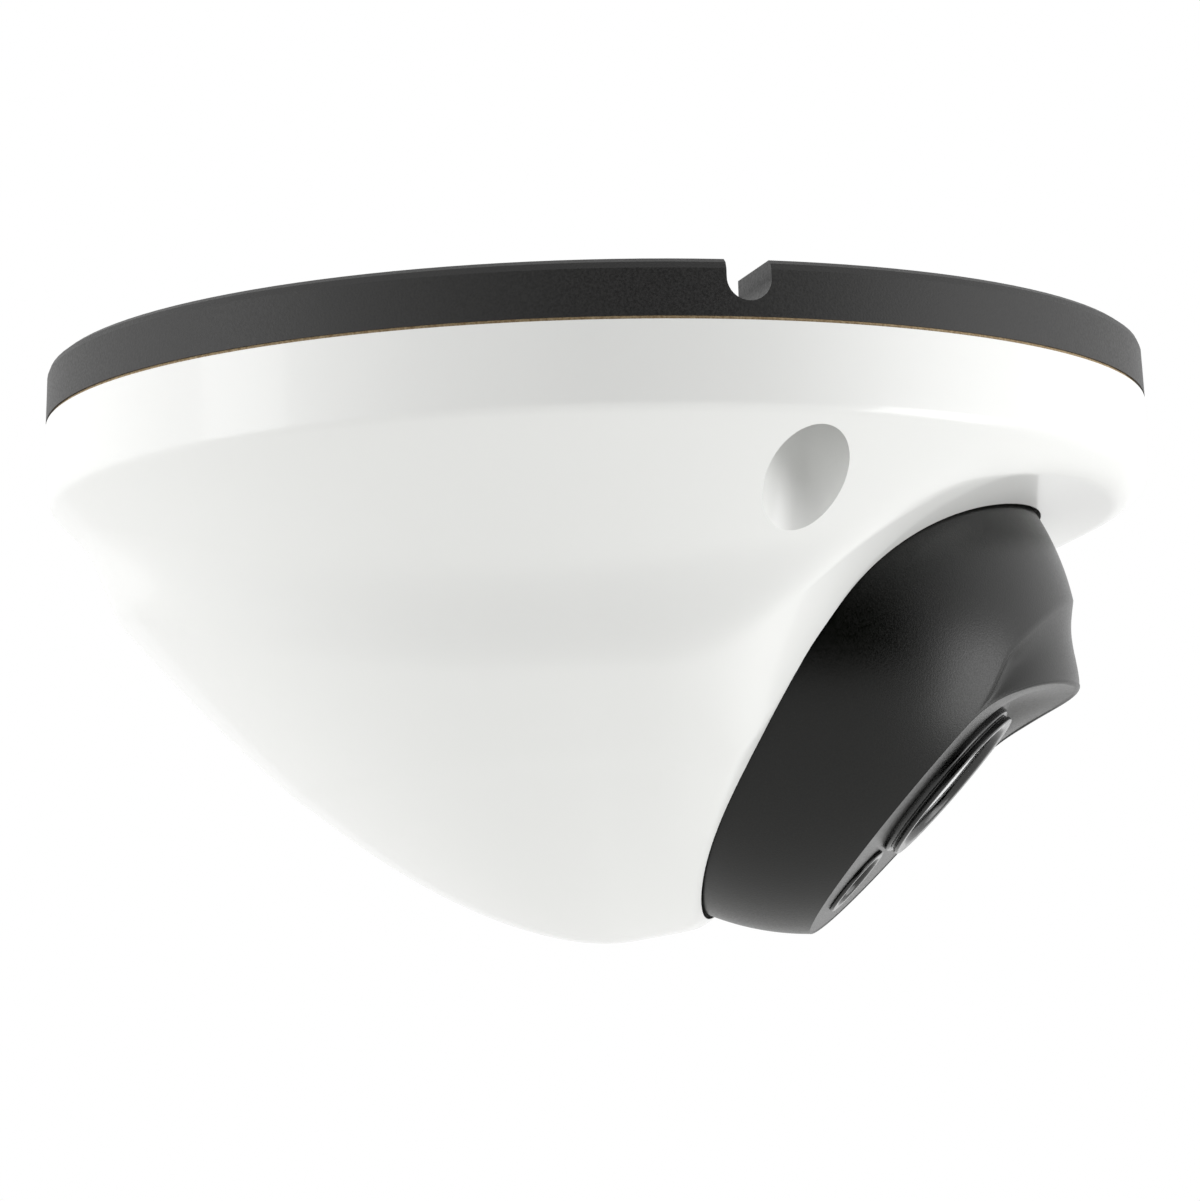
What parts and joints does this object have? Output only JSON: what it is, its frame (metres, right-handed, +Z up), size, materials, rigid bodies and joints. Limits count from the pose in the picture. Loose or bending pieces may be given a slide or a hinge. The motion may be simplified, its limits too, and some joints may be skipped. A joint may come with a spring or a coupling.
{
  "type": "security camera",
  "caption": "Ceiling mini dome security camera: dark base ring, glossy white cover, and a black ball eye with a hooded window that pans, tilts and turns.",
  "frame": {"origin": "centre of the mounting face of the base, midway between the two ceiling screw holes", "axes": "+Z up into the ceiling, the eye looks toward -Y and downward, +X across"},
  "size_m": [0.11, 0.11, 0.0583],
  "materials": {
    "graphite": "fine satin texture",
    "gasket": "soft foam",
    "black_rubber": "matte",
    "brass": "satin",
    "circuit": "solder mask",
    "steel": "zinc plated",
    "bright_metal": "tinned sheet",
    "black_plastic": "moulded",
    "pad": "soft",
    "pale_plastic": "moulded",
    "grey_plastic": "moulded",
    "alloy": "die cast",
    "eye_black": "fine satin texture",
    "ring_black": "satin gloss",
    "window_glass": "clear, coated",
    "dark_glass": "dark red, polished",
    "lens_black": "matt anodised",
    "lens_glass": "coated",
    "white_paint": "glossy white"
  },
  "bodies": {
    "base": {"base_plate": "graphite", "joint_gasket": "gasket", "cable_gland": "black_rubber", "cover_inserts": "brass", "main_board": "circuit", "board_posts": "brass", "board_screws": "steel", "network_jack": "bright_metal", "video_chip": "black_plastic", "heat_pad": "pad", "card_socket": "bright_metal", "reset_switch": "pale_plastic", "status_led": "pale_plastic", "pan_retainer": "grey_plastic", "retainer_screws": "steel", "cover": "white_paint", "cover_screws": "steel", "hook_clip": "steel"},
    "pan": {"pan_yoke": "alloy"},
    "tilt": {"tilt_frame": "grey_plastic", "tilt_pins": "steel"},
    "eye": {"eye_shell": "eye_black", "eye_retainer": "grey_plastic", "window_ring": "ring_black", "lens_window": "window_glass", "window_seal": "black_rubber", "ir_window": "dark_glass", "ir_lamp": "pale_plastic", "lamp_board": "circuit", "lens_barrel": "lens_black", "front_lens": "lens_glass", "rear_lens": "lens_glass", "lens_holder": "black_plastic", "sensor_board": "circuit", "image_sensor": "dark_glass", "module_screws": "steel"},
    "card": {"memory_card": "black_plastic"},
    "button": {"reset_button": "black_plastic"}
  },
  "joints": [
    {"name": "pan", "type": "hinge", "parent": "base", "child": "pan", "pos_m": [0, -0.0207, -0.031], "axis": [0, 0, 1], "range_deg": [-30, 30]},
    {"name": "tilt", "type": "hinge", "parent": "pan", "child": "tilt", "pos_m": [0, -0.0207, -0.031], "axis": [0.9981, 0.061, 0], "range_deg": [-25, 25]},
    {"name": "turn", "type": "hinge", "parent": "tilt", "child": "eye", "pos_m": [0, -0.0207, -0.031], "axis": [0.045, -0.7359, -0.6756], "range_deg": [-45, 45]},
    {"name": "card_slide", "type": "slide", "parent": "base", "child": "card", "axis": [0, 1, 0], "range_m": [0, 0.008]},
    {"name": "reset_press", "type": "slide", "parent": "base", "child": "button", "axis": [0, 0, 1], "range_m": [0, 0.0004], "stiffness_N_per_m": 200, "springref_m": -0.0004}
  ]
}
